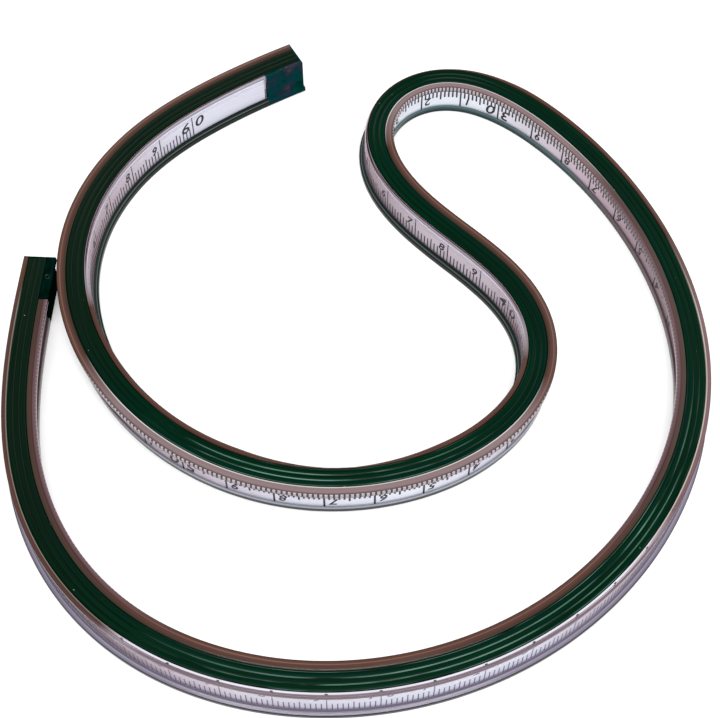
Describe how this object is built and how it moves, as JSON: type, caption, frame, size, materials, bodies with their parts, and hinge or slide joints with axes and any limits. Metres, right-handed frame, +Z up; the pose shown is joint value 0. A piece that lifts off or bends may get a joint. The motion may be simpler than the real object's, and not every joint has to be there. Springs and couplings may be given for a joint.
{
  "type": "flexible curve ruler",
  "caption": "Flexible curve ruler on edge, bent in a loop, with a lead and spring-steel core, a green sheath, clear flanged edges and centimetre scale tapes.",
  "frame": {"origin": "on the table under the middle of the curve's outline seen from above", "axes": "+Z up, across the height of the ruler as it stands on edge; +Y along the longer side of the bent outline, away from the big loop's closed side; +X to the right"},
  "size_m": [0.1498, 0.1646, 0.009],
  "materials": {
    "sheath_pvc": "satin, finely ribbed along its length",
    "clear_pvc": "glossy, clear with a smoky brown cast",
    "scale_tape": "smooth satin white with printed dark ticks and numerals",
    "spring_steel": "blued bright rolled",
    "lead": "dull extruded lead",
    "plug_pvc": "glossy, fused end"
  },
  "bodies": {
    "section_1": {"sheath_1": "sheath_pvc", "lead_core_1": "lead", "steel_ribbon_left_1": "spring_steel", "steel_ribbon_right_1": "spring_steel", "clear_edge_left_1": "clear_pvc", "clear_edge_right_1": "clear_pvc", "scale_tape_left_1": "scale_tape", "scale_tape_right_1": "scale_tape", "end_plug_0cm": "plug_pvc"},
    "section_2": {"sheath_2": "sheath_pvc", "lead_core_2": "lead", "steel_ribbon_left_2": "spring_steel", "steel_ribbon_right_2": "spring_steel", "clear_edge_left_2": "clear_pvc", "clear_edge_right_2": "clear_pvc", "scale_tape_left_2": "scale_tape", "scale_tape_right_2": "scale_tape"},
    "section_3": {"sheath_3": "sheath_pvc", "lead_core_3": "lead", "steel_ribbon_left_3": "spring_steel", "steel_ribbon_right_3": "spring_steel", "clear_edge_left_3": "clear_pvc", "clear_edge_right_3": "clear_pvc", "scale_tape_left_3": "scale_tape", "scale_tape_right_3": "scale_tape"},
    "section_4": {"sheath_4": "sheath_pvc", "lead_core_4": "lead", "steel_ribbon_left_4": "spring_steel", "steel_ribbon_right_4": "spring_steel", "clear_edge_left_4": "clear_pvc", "clear_edge_right_4": "clear_pvc", "scale_tape_left_4": "scale_tape", "scale_tape_right_4": "scale_tape"},
    "section_5": {"sheath_5": "sheath_pvc", "lead_core_5": "lead", "steel_ribbon_left_5": "spring_steel", "steel_ribbon_right_5": "spring_steel", "clear_edge_left_5": "clear_pvc", "clear_edge_right_5": "clear_pvc", "scale_tape_left_5": "scale_tape", "scale_tape_right_5": "scale_tape"},
    "section_6": {"sheath_6": "sheath_pvc", "lead_core_6": "lead", "steel_ribbon_left_6": "spring_steel", "steel_ribbon_right_6": "spring_steel", "clear_edge_left_6": "clear_pvc", "clear_edge_right_6": "clear_pvc", "scale_tape_left_6": "scale_tape", "scale_tape_right_6": "scale_tape"},
    "section_7": {"sheath_7": "sheath_pvc", "lead_core_7": "lead", "steel_ribbon_left_7": "spring_steel", "steel_ribbon_right_7": "spring_steel", "clear_edge_left_7": "clear_pvc", "clear_edge_right_7": "clear_pvc", "scale_tape_left_7": "scale_tape", "scale_tape_right_7": "scale_tape", "end_plug_60cm": "plug_pvc"}
  },
  "joints": [
    {"name": "bend_1", "type": "hinge", "parent": "section_2", "child": "section_1", "pos_m": [-0.04678, -0.06443, 0.0045], "axis": [0, 0, 1], "range_deg": [0, 30]},
    {"name": "bend_2", "type": "hinge", "parent": "section_3", "child": "section_2", "pos_m": [0.04556, -0.05837, 0.0045], "axis": [0, 0, 1], "range_deg": [0, 30]},
    {"name": "bend_3", "type": "hinge", "parent": "section_4", "child": "section_3", "pos_m": [0.06265, 0.03296, 0.0045], "axis": [0, 0, 1], "range_deg": [-22, 0]},
    {"name": "bend_4", "type": "hinge", "parent": "section_4", "child": "section_5", "pos_m": [0.01324, 0.03366, 0.0045], "axis": [0, 0, 1], "range_deg": [0, 30]},
    {"name": "bend_5", "type": "hinge", "parent": "section_5", "child": "section_6", "pos_m": [0.01042, -0.03376, 0.0045], "axis": [0, 0, 1], "range_deg": [-7, 0]},
    {"name": "bend_6", "type": "hinge", "parent": "section_6", "child": "section_7", "pos_m": [-0.06007, 0.00619, 0.0045], "axis": [0, 0, 1], "range_deg": [-5, 0]}
  ]
}
